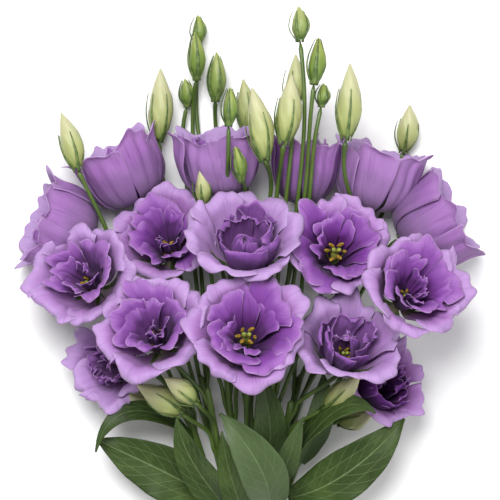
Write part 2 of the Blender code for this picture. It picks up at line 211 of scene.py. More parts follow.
PLANT_SHADE = 0.60  # petals and leaves send back this share of what the named colour would


def srgb(red, green, blue):
    """A plant colour given as 0 to 255, in the linear values that nodes take."""
    return tuple(PLANT_SHADE * ((c / 255 + 0.055) / 1.055) ** 2.4 for c in (red, green, blue))


# %% [markdown]
# A lisianthus petal is deepest at its base, violet in the middle and pale lilac at the margin, with fine
# veins that fan out from the base. The near-black base is partly the petal's own colour and partly painted
# shade of the deep throat, darkest on the inner petals. The pale margin and its paler rim are partly the
# petal's own lilac and partly painted light, where light shines through the thin margin. The back of the
# same petal is paler. The colour follows the petal's own UV map: across is u, and v runs from the base to
# the margin. An attribute makes some flowers paler.

# %% Petal finishes
def petal_finish(name, stops, pale, painted_rim_light, vein_depth):
    """stops are base to margin; pale tints some flowers; the last two numbers are how strongly the pale rim,
    partly the petal's own edge and partly painted light at the thin margin, and the veins show.
    """
    made = Finish(name, Roughness=0.55, Subsurface_Weight=0.10, Subsurface_Scale=0.002,
                  Subsurface_Radius=(1.0, 0.5, 1.0), Sheen_Weight=0.05, Sheen_Roughness=0.5,
                  Specular_IOR_Level=0.2)
    across, along = made.surface()
    streaks = made.stretched_noise(across * 34.0, along * 2.2, made.attribute("lot") * 9.0, 4.0)
    cloud = made.noise(made.places(), 60.0, 2.0)
    along_soft = along + (cloud - 0.5) * 0.28 + (streaks - 0.5) * 0.10
    colour = made.ramp(along_soft, stops)
    colour = made.mix(made.attribute("tint") * 0.75, colour, pale)
    veins = made.band(streaks, 0.52, 0.70)
    vein_colour = made.mix(1.0, colour, srgb(190, 140, 214), "MULTIPLY")
    colour = made.mix(veins * vein_depth, colour, vein_colour)
    side = made.size_of(across - 0.5)
    # edge marks a thin rim along the margin and the sides. Its pale colour is partly the petal's own edge and
    # partly painted light, where light shines through the thin petal edge.
    edge = made.band(along, 0.955, 1.0) + made.band(side, 0.475, 0.5) * made.band(along, 0.35, 0.7)
    made.paint(made.mix(edge * painted_rim_light, colour, srgb(214, 182, 226)))
    made.bump(streaks + cloud * 0.4, 0.35, 0.0006)
    return made.material


# In the inside finishes the dark first stops are partly the petal's own colour and partly painted shade of the
# deep throat.
PETAL_INSIDE = petal_finish(
    "petal_inside",
    [(0.20, srgb(36, 6, 46)), (0.46, srgb(92, 18, 112)),
     (0.66, srgb(150, 68, 172)), (0.94, srgb(180, 122, 198))],
    srgb(192, 150, 212), 0.40, 0.34,
)
PETAL_OUTSIDE = petal_finish(
    "petal_outside",
    [(0.05, srgb(160, 160, 120)), (0.20, srgb(184, 128, 198)),
     (0.60, srgb(194, 134, 214)), (0.95, srgb(206, 164, 228))],
    srgb(214, 182, 238), 0.4, 0.26,
)
# The inner petals' darkest stops reach furthest up the petal: partly their own deeper colour, partly painted
# shade deep in the throat.
INNER_INSIDE = petal_finish(
    "inner_petal_inside",
    [(0.26, srgb(22, 4, 28)), (0.54, srgb(76, 10, 96)),
     (0.76, srgb(122, 46, 156)), (0.98, srgb(164, 96, 192))],
    srgb(184, 134, 208), 0.45, 0.42,
)
INNER_OUTSIDE = petal_finish(
    "inner_petal_outside",
    [(0.14, srgb(60, 14, 80)), (0.44, srgb(110, 32, 138)),
     (0.74, srgb(146, 74, 178)), (0.98, srgb(178, 116, 204))],
    srgb(194, 146, 214), 0.45, 0.42,
)
print("petal finishes made")

# %% [markdown]
# Stems, leaves and buds are all greens, but each has its own pattern. Stems are smooth with faint lengthwise
# lines, leaves are glaucous with a pale midrib and side veins, and buds go from green to cream as they ripen.

# %% Green finishes
def stem_finish():
    made = Finish("stem_green", Roughness=0.42, Subsurface_Weight=0.05, Subsurface_Scale=0.002)
    patches = made.noise(made.places(), 45.0, 3.0)
    across, along = made.surface()
    lines = made.stretched_noise(across * 16.0, along * 1.5)
    made.paint(made.ramp(
        patches * 0.6 + lines * 0.4,
        [(0.30, srgb(62, 88, 28)), (0.52, srgb(92, 120, 44)), (0.72, srgb(126, 150, 70))]))
    made.bump(lines, 0.3, 0.0004)
    return made.material


def leaf_finish():
    made = Finish("leaf_green", Roughness=0.5, Subsurface_Weight=0.04, Subsurface_Scale=0.002,
                  Specular_IOR_Level=0.25)
    across, along = made.surface()
    patches = made.noise(made.places(), 38.0, 4.0)
    fine = made.noise(made.places(), 420.0, 2.0)
    side = made.size_of(across - 0.5)
    midrib = 1.0 - made.band(side, 0.008, 0.028)
    outer_vein = 1.0 - made.band(made.size_of(side - 0.24), 0.004, 0.016)
    ribs = made.node("Math", {"operation": "PINGPONG"}, {0: along * 9.0 - side * 5.0, 1: 0.5})
    ribs = (1.0 - made.band(ribs, 0.015, 0.06)) * 0.35
    colour = made.ramp(
        patches * 0.8 + fine * 0.2,
        [(0.34, srgb(38, 58, 14)), (0.50, srgb(58, 82, 26)), (0.68, srgb(84, 108, 46))])
    colour = made.mix(made.attribute("tint"), colour, srgb(112, 136, 92))
    made.paint(made.mix(midrib * 0.65 + outer_vein * 0.3 + ribs, colour, srgb(140, 160, 108)))
    made.bump(fine * 0.3 - midrib * 1.0 - outer_vein * 0.5 - ribs, 0.6, 0.0006)
    return made.material


def bud_finish():
    made = Finish("bud_skin", Roughness=0.5, Subsurface_Weight=0.1, Subsurface_Scale=0.003)
    across, along = made.surface()
    lines = made.stretched_noise(across * 26.0 + along * 4.0, along * 1.6, 0.0, 3.0)
    green = made.ramp(
        along + (lines - 0.5) * 0.5,
        [(0.0, srgb(92, 124, 46)), (0.35, srgb(132, 160, 66)), (0.9, srgb(176, 190, 92))])
    cream = made.ramp(
        along + (lines - 0.5) * 0.4,
        [(0.0, srgb(148, 166, 84)), (0.3, srgb(196, 204, 130)), (0.9, srgb(226, 224, 176))])
    colour = made.mix(made.attribute("tint"), green, cream)
    made.paint(made.mix(made.band(lines, 0.55, 0.7) * 0.25, colour, srgb(120, 142, 66)))
    made.bump(lines, 0.35, 0.0006)
    return made.material


def speckled_finish(name, dark, light, roughness, scale):
    """Two close tones in a fine grain, for the small parts and the band."""
    made = Finish(name, Roughness=roughness)
    grain = made.noise(made.places(), scale, 3.0)
    made.paint(made.ramp(grain, [(0.35, dark), (0.65, light)]))
    made.bump(grain, 0.4, 0.0004)
    return made.material


STEM = stem_finish()
LEAF = leaf_finish()
BUD = bud_finish()
SEPAL = speckled_finish("sepal_green", srgb(78, 108, 44), srgb(128, 152, 78), 0.5, 260.0)
ANTHER = speckled_finish("anther_yellow", srgb(132, 96, 14), srgb(206, 168, 44), 0.85, 900.0)
PISTIL = speckled_finish("pistil_green", srgb(120, 140, 40), srgb(186, 190, 84), 0.5, 500.0)
RUBBER = speckled_finish("natural_rubber", srgb(150, 118, 74), srgb(184, 150, 102), 0.7, 300.0)
print("green finishes made")

# %% [markdown]
# Most pieces start as a flat grid whose vertices know how far across and along they are. A grid is modelled
# once for each use, copied with its own mesh, and its vertices are moved by a shape function.

# %% Grids, tubes and joining
def grid_master(name, across, along):
    """A flat grid, with each vertex's place across (-1 to 1) and along (0 to 1)."""
    bpy.ops.object.select_all(action="DESELECT")
    bpy.ops.mesh.primitive_grid_add(x_subdivisions=across, y_subdivisions=along, size=2)
    made = bpy.context.object
    made.name = name
    co = np.array([vert.co[:] for vert in made.data.vertices])
    return made, co[:, 0], (co[:, 1] + 1) / 2


def set_attribute(mesh, name, value):
    attribute = mesh.attributes.new(name, "FLOAT", "POINT")
    attribute.data.foreach_set("value", np.full(len(mesh.vertices), value))


def shaped(master, name, points, materials, tint=0.0, lot=0.0):
    """A copy of a master with its vertices moved to points, in metres."""
    made = master.copy()
    made.data = master.data.copy()
    made.name = name
    made.data.vertices.foreach_set("co", np.asarray(points, np.float32).ravel())
    made.data.materials.clear()
    for material in materials:
        made.data.materials.append(material)
    set_attribute(made.data, "tint", tint)
    set_attribute(made.data, "lot", lot)
    bpy.context.collection.objects.link(made)
    made.data.shade_smooth()
    return made


def joined(pieces, name):
    bpy.ops.object.select_all(action="DESELECT")
    for piece in pieces:
        piece.select_set(True)
    bpy.context.view_layer.objects.active = pieces[0]
    if len(pieces) > 1:
        bpy.ops.object.join()
    pieces[0].name = name
    return pieces[0]


def apply_modifier(piece, kind, **settings):
    bpy.ops.object.select_all(action="DESELECT")
    piece.select_set(True)
    bpy.context.view_layer.objects.active = piece
    modifier = piece.modifiers.new(kind.title(), kind)
    for key, value in settings.items():
        setattr(modifier, key, value)
    bpy.ops.object.modifier_apply(modifier=modifier.name)


SMOOTHING_ROUNDS = 14


def smooth_line(points, count):
    """A rounded line through points, evenly spaced."""
    p = np.array(points, float)
    p = np.vstack([2 * p[0] - p[1], p, 2 * p[-1] - p[-2]])
    fine = []
    for a, b, c, d in zip(p, p[1:], p[2:], p[3:]):
        for t in np.linspace(0, 1, 12, endpoint=False):
            fine.append(0.5 * (2 * b + (c - a) * t + (2 * a - 5 * b + 4 * c - d) * t**2
                               + (3 * b - a - 3 * c + d) * t**3))
    fine = np.array(fine + [p[-2]])
    for _ in range(SMOOTHING_ROUNDS):
        fine[1:-1] = (fine[:-2] + 2 * fine[1:-1] + fine[2:]) / 4
    run = np.concatenate([[0], np.cumsum(np.linalg.norm(np.diff(fine, axis=0), axis=1))])
    wanted = np.linspace(0, run[-1], count)
    return np.column_stack([np.interp(wanted, run, fine[:, k]) for k in range(3)])


def line_frames(line):
    """The way along the line, and two ways square to it that never twist round it."""
    tangents = np.gradient(line, axis=0)
    tangents /= np.linalg.norm(tangents, axis=1)[:, None]
    side = np.array([1.0, 0.0, 0.0])
    sides = []
    for tangent in tangents:
        side = unit(side - tangent * (side @ tangent))
        sides.append(side)
    return tangents, np.array(sides), np.cross(tangents, sides)


def soft_profile(stops):
    """A function through (place, value) stops with its corners rounded."""
    places, values = zip(*stops)
    shifts = (-0.04, -0.02, 0, 0.02, 0.04)

    def read(at):
        return sum(np.interp(np.asarray(at) + shift, places, values) for shift in shifts) / 5

    return read


def tube_master(name, around, along):
    """A sphere to be drawn out into a closed tube, with each vertex's turn round it and share along it."""
    bpy.ops.object.select_all(action="DESELECT")
    bpy.ops.mesh.primitive_uv_sphere_add(segments=around, ring_count=along + 1, radius=1)
    made = bpy.context.object
    made.name = name
    co = np.array([vert.co[:] for vert in made.data.vertices])
    share = 1 - np.arccos(np.clip(co[:, 2], -1, 1)) / math.pi
    turn = np.arctan2(co[:, 1], co[:, 0])
    return made, turn, share


def swept(master, name, line, radius, material, tint=0.0):
    """A tube along a line; radius is a function of the share of its length."""
    shape, turn, share = master
    tangents, sides, ups = line_frames(line)
    run = np.linspace(0, 1, len(line))

    def at(table):
        return np.column_stack([np.interp(share, run, table[:, k]) for k in range(3)])

    ends = np.clip(np.minimum(share, 1 - share) * 400, 0, 1)[:, None]  # closes the tube at its poles
    out = np.cos(turn)[:, None] * at(sides) + np.sin(turn)[:, None] * at(ups)
    points = at(line) + out * np.asarray(radius(share))[:, None] * ends
    return shaped(shape, name, points, [material], tint)


def rest_on_table(points, clearance=0.0004, softness=0.0012):
    """Lifts what would reach below the table, as a soft petal flattens against it."""
    points = np.array(points)
    points[:, 2] = clearance + softness * np.logaddexp(0, (points[:, 2] - clearance) / softness)
    return points


LONG_TUBE = tube_master("long_tube_master", 14, 64)
SHORT_TUBE = tube_master("short_tube_master", 10, 40)
BEAD = tube_master("bead_master", 12, 8)
BUD_SHELL = tube_master("bud_master", 40, 34)
PETAL_GRID = grid_master("petal_master", 22, 20)
SEPAL_GRID = grid_master("sepal_master", 5, 14)
LEAF_GRID = grid_master("leaf_master", 22, 44)
print("masters made")

# %% [markdown]
# The main stems are smooth round stalks, a little thicker where the flower stalks leave them. A CAD stem has
# eight flat sides, so a rounder tube takes its place along the same middle line.

# %% Stems
STEM_FOOT_RADIUS, STEM_TOP_RADIUS, NODE_SWELLING = 2.4 * MM, 2.0 * MM, 0.3 * MM
stem_lines = {}


def stem_radius(share):
    swelling = NODE_SWELLING * np.exp(-(((share - 0.86) / 0.03) ** 2))
    return STEM_FOOT_RADIUS - (STEM_FOOT_RADIUS - STEM_TOP_RADIUS) * share + swelling


for name in sorted(node for node in nodes if node.startswith("stem_")):
    line = smooth_line([ring.mean(0) for ring in rings_of(name)], 80)
    stem_lines[name] = line
    stem = swept(LONG_TUBE, name + "_green", line, stem_radius, STEM)
    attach(stem, "root")
    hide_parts(name)
print(len(stem_lines), "stems")

# %% [markdown]
# Each flower and bud stands on its own thin stalk, which grows out of a main stem. The stalk starts inside
# the nearest stem, a little below its CAD foot, so that the two look grown together.

# %% Stalks
STALK_RADIUS = 1.3 * MM


def nearest_on_stems(point):
    _, nearest = min((np.linalg.norm(line - point, axis=1).min(), name) for name, line in stem_lines.items())
    line = stem_lines[nearest]
    k = int(np.linalg.norm(line - point, axis=1).argmin())
    return line[max(k - 3, 0)]


def stalk_for(name, rings, top_radius):
    """The stalk of a flower or bud, from inside its stem to just inside the calyx."""
    def radius(share):
        return STALK_RADIUS + (top_radius - STALK_RADIUS) * np.clip((share - 0.93) / 0.07, 0, 1) ** 1.5

    centres = [ring.mean(0) for ring in rings[1:12]]
    line = smooth_line([nearest_on_stems(centres[0]), *centres], 60)
    return swept(SHORT_TUBE, name + "_stalk", line, radius, STEM)


print("stalks are", 2 * STALK_RADIUS / MM, "mm thick")

# %% [markdown]
# A double lisianthus has five or six broad outer petals that overlap like roof tiles, and inside them a ring
# of smaller, folded petals round the throat. Each petal is one curve from the calyx out to its flared margin,
# swept sideways round the flower's axis, then ruffled more and more toward the margin.

# %% Petal shapes
# Each curve is five (distance from the axis, height) points, as shares of the flower's radius and depth.
FLOWER_DEPTH = 34 * MM
OUTER_CURVE = np.array([(0.08, 0.0), (0.68, 0.04), (0.58, 0.78), (0.92, 1.02), (1.10, 0.84)])
GOBLET_CURVE = np.array([(0.08, 0.0), (0.98, -0.04), (0.94, 0.66), (0.78, 1.10), (1.02, 1.14)])
INNER_CURVE = np.array([(0.05, 0.04), (0.42, 0.14), (0.36, 0.74), (0.64, 1.02), (0.86, 0.98)])
CLOSED_CURVE = np.array([(0.05, 0.04), (0.50, 0.14), (0.52, 0.80), (0.56, 1.10), (0.48, 0.96)])


def curve_at(controls, t):
    """A point of the Bezier curve with five control points, for each t."""
    weights = [math.comb(4, k) * t**k * (1 - t) ** (4 - k) for k in range(5)]
    return sum(w * c[0] for w, c in zip(weights, controls)), sum(w * c[1] for w, c in zip(weights, controls))


def petal_points(controls, turn, half_turn, size, depth, ruffle, fold, notch, skew, lean=0.0):
    """A petal round the axis at turn, half_turn wide each way. ruffle and fold are lengths; notch dents the
    margin, skew turns it sideways and lean moves it in or out."""
    _, u, v = PETAL_GRID
    phase = rng.uniform(0, 2 * math.pi, 6)
    slow, quick = rng.uniform(2.6, 5.4), rng.uniform(7.0, 12.0)
    margin = 0.060 * np.sin(slow * 0.7 * u + phase[0]) + 0.016 * np.sin(quick * u + phase[1])
    run = v * (1 - (0.20 * np.abs(u) ** 2.4 - margin + notch * np.exp(-(u / 0.18) ** 2)) * v**2)
    rho, height = curve_at(controls, run)
    widening = half_turn * (0.62 + 0.50 * run - 0.12 * run**4)
    angle = turn + widening * u + skew * run**2
    wave = 1.15 * np.sin(slow * u + phase[2] + 1.5 * run) + 0.42 * np.sin(quick * u + phase[3]) \
        + 0.22 * np.sin(17.0 * u + phase[4] + 3 * run) * np.sin(2.2 * u + phase[1])
    edge = run**3.2 + 0.5 * run * np.abs(u) ** 5
    rho = (rho + lean * run**2) * size + 1.3 * MM * u * np.minimum(run * 2, 1) + 0.55 * ruffle * edge * wave
    rho = rho - fold * (1 - np.abs(u)) ** 1.3 * run * (1.2 - run)
    crumple = np.sin(5.5 * u + 7 * run + phase[1]) * np.sin(9 * run - 3.5 * u + phase[4]) \
        + 0.5 * np.sin(13 * u - 4 * run + phase[5]) * run
    rho = rho + 0.30 * ruffle * crumple * np.minimum(run * 2, 1)
    height = height * depth + 0.22 * ruffle * crumple * run
    height = height + ruffle * edge * (0.8 * wave + 0.4 * np.sin(4 * u + phase[5]))
    return np.column_stack([rho * np.cos(angle), rho * np.sin(angle), height])


print("outer petals reach", OUTER_CURVE[-1][0], "of the flower's radius, inner ones", INNER_CURVE[-1][0])

# %% [markdown]
# Sepals are narrow green straps outside the petals. Five stamens with mustard anthers stand round a green
# ovary that ends in a two-lobed stigma, and they show only where the throat is open.

# %% The parts round a flower
CUP = soft_profile([(0.0, 0.10), (0.12, 0.34), (0.3, 0.50), (0.6, 0.62), (0.8, 0.78), (1.0, 1.0)])


def sepal_points(turn, length, base_width, radius_at, lift):
    """A strap from below the calyx up along a body of revolution with radius_at(height)."""
    _, u, v = SEPAL_GRID
    height = -0.0015 + length * v
    width = base_width * np.clip(1 - v, 0.02, 1) ** 0.8 * (0.75 + 0.9 * v * (1 - v))
    rho = radius_at(np.maximum(height, 0)) + 0.0004 + lift * v**3 + 0.0003 * (1 - np.abs(u))
    angle = turn + u * width / np.maximum(rho, 0.0012)
    return np.column_stack([rho * np.cos(angle), rho * np.sin(angle), height])


def bead_points(centre, way, length, radius):
    """A long bead, pointed along way, for the ovary, the stigma and the anthers."""
    _, turn, share = BEAD
    along = np.cos(math.pi * (1 - share))
    girth = np.sqrt(np.maximum(1 - along**2, 0)) * radius
    way = unit(way)
    side = unit(np.cross(way, (0.31, 0.52, 0.79)))
    ring = np.cos(turn)[:, None] * side + np.sin(turn)[:, None] * np.cross(way, side)
    return np.asarray(centre) + along[:, None] * way * length / 2 + ring * girth[:, None]


def thread(name, points, radius):
    """A thin even stalk, for the style and the filaments."""
    line = smooth_line(points, 12)
    return swept(SHORT_TUBE, name, line, lambda share: np.full(share.shape, radius), PISTIL)


def heart_of_flower(name, to_place, sunk):
    """Stamens and pistil, in the flower's own frame, moved to their place; sunk ones sit deeper."""
    def place(points):
        return to_place(np.asarray(points) * (sunk**0.5, sunk**0.5, sunk))

    def bead(kind, centre, way, length, radius, material):
        points = bead_points(centre, way, length, radius)
        return shaped(BEAD[0], kind, place(points), [material])

    parts = [bead("ovary", (0, 0, 0.30 * FLOWER_DEPTH), (0, 0, 1), 12 * MM, 2.6 * MM, PISTIL)]
    for side in (-1, 1):
        centre = (side * 1.5 * MM, 0, 0.60 * FLOWER_DEPTH)
        parts.append(bead("stigma", centre, (side * 0.5, 0.2, 1), 3.4 * MM, 1.5 * MM, PISTIL))
    style = [(0, 0, share * FLOWER_DEPTH) for share in (0.35, 0.45, 0.52, 0.58)]
    parts.append(thread("style", place(style), 0.8 * MM))
    for k in range(6):
        turn = k * math.pi / 3 + rng.uniform(-0.2, 0.2)
        out = np.array([math.cos(turn), math.sin(turn), 0])
        top = out * rng.uniform(4.2, 5.6) * MM + np.array([0, 0, rng.uniform(0.50, 0.58) * FLOWER_DEPTH])
        root = out * 2.4 * MM + np.array([0, 0, 0.12 * FLOWER_DEPTH])
        middle = (root + top) / 2 + out * 1.0 * MM
        parts.append(thread("filament", place([root, middle, top]), 0.45 * MM))
        way = out * 0.5 + np.array([rng.uniform(-0.5, 0.5), 0.3, 0.6])
        parts.append(bead("anther", top, way, 5.2 * MM, 1.15 * MM, ANTHER))
    return joined(parts, name + "_heart")


print("a calyx has 5 sepals, a heart 6 stamens")

# %% [markdown]
# The sixteen flowers differ in how far they have opened, how pale they are, and how many inner petals stand
# round the throat. A short table says so for each, and the place, tilt and size come from the CAD cup.

# %% Flowers
# name: paleness, inner curve, number of inner petals, how open the throat is
STYLES = {
    "flower_01": (0.10, INNER_CURVE, 11, 1.00), "flower_02": (0.22, INNER_CURVE, 12, 0.86),
    "flower_03": (0.55, CLOSED_CURVE, 12, 0.95), "flower_04": (0.05, INNER_CURVE, 11, 1.05),
    "flower_05": (0.10, INNER_CURVE, 12, 0.90), "flower_06": (0.50, CLOSED_CURVE, 12, 1.05),
    "flower_07": (0.12, INNER_CURVE, 11, 0.86), "flower_08": (0.38, INNER_CURVE, 12, 0.82),
    "flower_09": (0.10, CLOSED_CURVE, 11, 1.00), "flower_10": (0.70, CLOSED_CURVE, 9, 0.90),
    "flower_11": (0.85, CLOSED_CURVE, 9, 0.90), "flower_12": (0.65, CLOSED_CURVE, 10, 0.95),
    "flower_13": (0.85, CLOSED_CURVE, 10, 0.95), "flower_14": (0.60, CLOSED_CURVE, 9, 0.90),
    "flower_15": (0.95, CLOSED_CURVE, 9, 0.90), "flower_16": (0.75, CLOSED_CURVE, 10, 0.95),
}


OPEN_THROATS = ("flower_01", "flower_04")
BESIDE_STALKS = ("flower_13", "flower_14")  # bud stalks pass close in front of these two
OUTER_PETALS = 6
GOLDEN_TURN = 2.39996  # radians from one inner petal to the next, as in most flowers
PETAL_WALL = 0.34 * MM
SEPAL_WALL = 0.4 * MM
print(len(STYLES), "flowers to grow,", len(OPEN_THROATS), "of them with an open throat")

# %% [markdown]
# Both kinds of petal come from the same function with other limits. Each flower draws its own numbers inside
# those limits, so no two petals are alike. A Solidify modifier then gives every petal a paper-thin wall, and
# puts the paler back finish on its outside.


# %% Growing the petals of one flower
def outer_petals(name, place, start, size, paleness):
    at_back = name >= "flower_11"
    grown = []
    for k in range(OUTER_PETALS):
        reach = size * rng.uniform(0.97, 1.07) * (1.0 if k % 2 else 0.94) * (1.14 if at_back else 1.0)
        reach *= 0.89 if name in BESIDE_STALKS else 1.0
        points = petal_points(
            GOBLET_CURVE if at_back else OUTER_CURVE,
            start + k * 2 * math.pi / OUTER_PETALS + rng.uniform(-0.10, 0.10),
            rng.uniform(0.62, 0.74), reach, FLOWER_DEPTH * rng.uniform(0.93, 1.03),
            rng.uniform(2.2, 3.6) * MM, 0, rng.choice([0.0, 0.0, 0.06]), rng.uniform(-0.12, 0.12))
        grown.append(shaped(PETAL_GRID[0], "outer", place(points), [PETAL_INSIDE, PETAL_OUTSIDE],
                            paleness + rng.uniform(-0.08, 0.08), rng.uniform()))
    return grown


def inner_petals(name, place, start, size):
    paleness, inner_curve, count, openness = STYLES[name]
    grown = []
    for k in range(count):
        whorl = k % 3
        grow = openness * (1.14, 0.90, 0.68)[whorl] * rng.uniform(0.90, 1.10)
        inward = 0.0 if name in OPEN_THROATS or whorl < 2 else 0.26
        points = petal_points(
            inner_curve * (grow, 1.0 - 0.05 * whorl), start + 0.5 + k * GOLDEN_TURN,
            rng.uniform(0.60, 0.86), size, FLOWER_DEPTH * rng.uniform(0.86, 1.02),
            rng.uniform(1.6, 3.2) * MM, rng.uniform(0.5, 5.0) * MM, rng.choice([0.0, 0.08]),
            rng.uniform(-0.35, 0.35), rng.uniform(-0.20, 0.10) - inward)
        grown.append(shaped(PETAL_GRID[0], "inner", place(points), [INNER_INSIDE, INNER_OUTSIDE],
                            paleness * 0.9 + rng.uniform(-0.05, 0.10), rng.uniform()))
    return grown


def sepals_round(name, place, start, length, width, radius_at, most_lift, least_lift=0.0):
    """Five straps round a body of revolution, joined into one calyx."""
    straps = []
    for k in range(5):
        turn = start + k * 2 * math.pi / 5
        points = sepal_points(turn, length, width, radius_at, rng.uniform(least_lift, most_lift) * MM)
        strap = shaped(SEPAL_GRID[0], "sepal", place(points), [SEPAL])
        apply_modifier(strap, "SOLIDIFY", thickness=SEPAL_WALL, offset=0)
        straps.append(strap)
    return joined(straps, name + "_sepals")


print("a petal wall is", PETAL_WALL / MM, "mm thick")

# %% [markdown]
# One flower is put together at its own CAD cup: the middle of the first cup ring is the calyx, the last
# vertex is the throat, and the widest ring gives the radius. The axes follow from those.


# %% Putting the flowers together
def own_axes(way, hint):
    """Three ways square to each other, the last one along way."""
    side = unit(np.cross(way, hint))
    return np.array([side, np.cross(way, side), way])


def reach_from_axis(rings, base, way):
    """The furthest that the rings' vertices stand from the axis."""
    off_axis = np.vstack(rings) - base
    off_axis -= (off_axis @ way)[:, None] * way
    return np.linalg.norm(off_axis, axis=1).max()


def make_flower(name):
    rings = rings_of(name)
    calyx, throat = rings[11].mean(0), rings[-1][0]
    way = unit(throat - calyx)
    size = reach_from_axis(rings[12:19], calyx, way) / 1.05
    axes = own_axes(way, (0.2, 0.1, 1.0) if abs(way[2]) < 0.5 else (0, 1, 0))

    def place(points):
        return rest_on_table(calyx + np.asarray(points) @ axes)

    def cup_radius(height):
        return size * CUP(height / FLOWER_DEPTH) * 0.98 + 0.6 * MM

    start = rng.uniform(0, 2 * math.pi)
    petals = outer_petals(name, place, start, size, STYLES[name][0]) + inner_petals(name, place, start, size)
    for petal in petals:
        apply_modifier(petal, "SOLIDIFY", thickness=PETAL_WALL, offset=0,
                       material_offset=1, material_offset_rim=0)
    corolla = joined(petals, name + "_petals")
    calyx_piece = sepals_round(name, place, start + 0.3, 19 * MM, 1.5 * MM, cup_radius, 3.0, 0.5)
    stalk = stalk_for(name, rings, 2.2 * MM)
    heart = heart_of_flower(name, place, 1.0 if name in OPEN_THROATS else 0.66)
    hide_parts(name)
    for piece, slot in ((corolla, "petal"), (calyx_piece, "leaf"), (stalk, "stem"), (heart, "bud")):
        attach(piece, "root")


for name in STYLES:
    make_flower(name)
print(len(STYLES), "flowers")

# %% [markdown]
# A lisianthus bud is wound like a furled umbrella: each petal's edge lies over the next, so the bud has
# spiral ridges. Ripe buds are cream and swollen, young ones green and slim with sepals as long as the bud.

# %% Buds
BUD_SHAPE = soft_profile([(0.0, 0.30), (0.08, 0.58), (0.25, 0.90), (0.40, 1.0), (0.60, 0.86), (0.80, 0.50),
                          (0.92, 0.22), (1.0, 0.05)])
LAPS, LAP_TURNS = 5, 1.9  # petals wound round the bud, and how many laps each ridge climbs through
GREEN_RADIUS, RIPE_RADIUS = 5.3 * MM, 6.5 * MM  # slimmer buds are green, fuller ones cream
PALE_SMALL_BUDS = ("bud_18",)


def furled_body(size, length, ripe, start):
    """The wound skin of a bud, standing on its base along z."""
    _, turn, share = BUD_SHELL
    lap = (turn / (2 * math.pi) * LAPS + share * LAP_TURNS + start) % 1.0
    ridge = 1 + 0.085 * (lap - 0.6) * np.clip(share * 4, 0, 1) * (0.5 + ripe * 0.7)
    swell = BUD_SHAPE(share) * size * ridge * (share > 0) * (share < 1)
    bend = 1.2 * MM * np.sin(share * math.pi)
    return np.column_stack([swell * np.cos(turn) + bend, swell * np.sin(turn), share * length])


def make_bud(name):
    rings = rings_of(name)
    base, tip = rings[11].mean(0), rings[-1][0]
    way, length = unit(tip - base), np.linalg.norm(tip - base)
    size = reach_from_axis(rings[12:16], base, way)
    axes = own_axes(way, (0.3, 0.2, 1.0))

    def place(points):
        return base + points @ axes

    def bud_radius(height):
        return size * BUD_SHAPE(height / length) * 1.02

    ripe = float(np.clip((size - GREEN_RADIUS) / (RIPE_RADIUS - GREEN_RADIUS), 0, 1))
    ripe = 0.9 if name in PALE_SMALL_BUDS else ripe
    start = rng.uniform(0, 2 * math.pi)
    body = shaped(BUD_SHELL[0], name + "_body", place(furled_body(size, length, ripe, start)), [BUD], ripe)
    sepal_length, sepal_width = length * (1.02 - 0.34 * ripe), (1.3 + 0.5 * (1 - ripe)) * MM
    calyx_piece = sepals_round(name, place, start, sepal_length, sepal_width, bud_radius, 0.8)
    stalk = stalk_for(name, rings, max(STALK_RADIUS, size * 0.30))
    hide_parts(name)
    for piece, slot in ((body, "bud"), (calyx_piece, "leaf"), (stalk, "stem")):
        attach(piece, "root")


bud_names = sorted(node for node in nodes if node.startswith("bud_"))
for name in bud_names:
    make_bud(name)
print(len(bud_names), "buds")

# %% [markdown]
# A lisianthus leaf clasps its stem with no leaf stalk. The CAD leaf is a lens-shaped body without rings, so
# its middle line is found another way: each vertex's share of the way from foot to tip, walked along the
# edges, and a smooth cubic fitted through all of them.

# %% Finding a leaf's middle line
def walked_lengths(shape, co, start):
    """How far every vertex is from a start, walking along the edges."""
    reach = np.full(len(co), 1e3)
    reach[start] = 0
    edges = [[vert.index for vert in edge.verts] for edge in shape.edges]
    for _ in co:
        for a, b in edges:
            step = np.linalg.norm(co[a] - co[b])
            reach[a], reach[b] = min(reach[a], reach[b] + step), min(reach[b], reach[a] + step)
    return reach


def blade_line(name):
    """The blade's middle line from foot to tip, its half width and the way its upper side looks."""
    shape = merged(name)
    co = np.array([vert.co[:] for vert in shape.verts])
    band = np.array(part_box("band")).reshape(2, 3).mean(0)
    apart = np.linalg.norm(co[:, None] - co[None], axis=2)
    ends = np.unravel_index(apart.argmax(), apart.shape)
    foot, tip = sorted(ends, key=lambda k: np.linalg.norm(co[k] - band))
    from_foot, from_tip = walked_lengths(shape, co, foot), walked_lengths(shape, co, tip)
    shares = from_foot / (from_foot + from_tip)
    weights = np.where((shares < 0.01) | (shares > 0.99), 8, 1)
    fit = [np.polyfit(shares, co[:, k], 3, w=weights) for k in range(3)]
    run = np.linspace(0, 1, 44)
    line = np.column_stack([np.polyval(f, run) for f in fit])
    away = np.linalg.norm(co[:, None] - line[None], axis=2).min(1)
    upper = [np.array(face.normal[:]) * face.calc_area() for face in shape.faces if face.normal.z > 0]
    shape.free()
    return line, away.max(), unit(sum(upper, np.zeros(3)))


print("leaf_01 is", round(float(blade_line("leaf_01")[1]) / MM, 1), "mm wide each way")

# %% [markdown]
# The blade is oval with a drawn-out point, folded a little along the midrib, with a slow wave along each
# edge. A thin wall makes it a closed leaf that shows from both sides. Some leaves are greyer than others.

# %% Leaves
LEAF_WIDTH = soft_profile([(0.0, 0.30), (0.15, 0.66), (0.35, 0.97), (0.5, 1.0), (0.7, 0.78), (0.86, 0.42),
                           (0.96, 0.12), (1.0, 0.0)])
GLAUCOUS = {"leaf_04": 0.55, "leaf_07": 0.5, "leaf_09": 0.3, "leaf_08": 0.4}
LEAF_WALL = 0.7 * MM


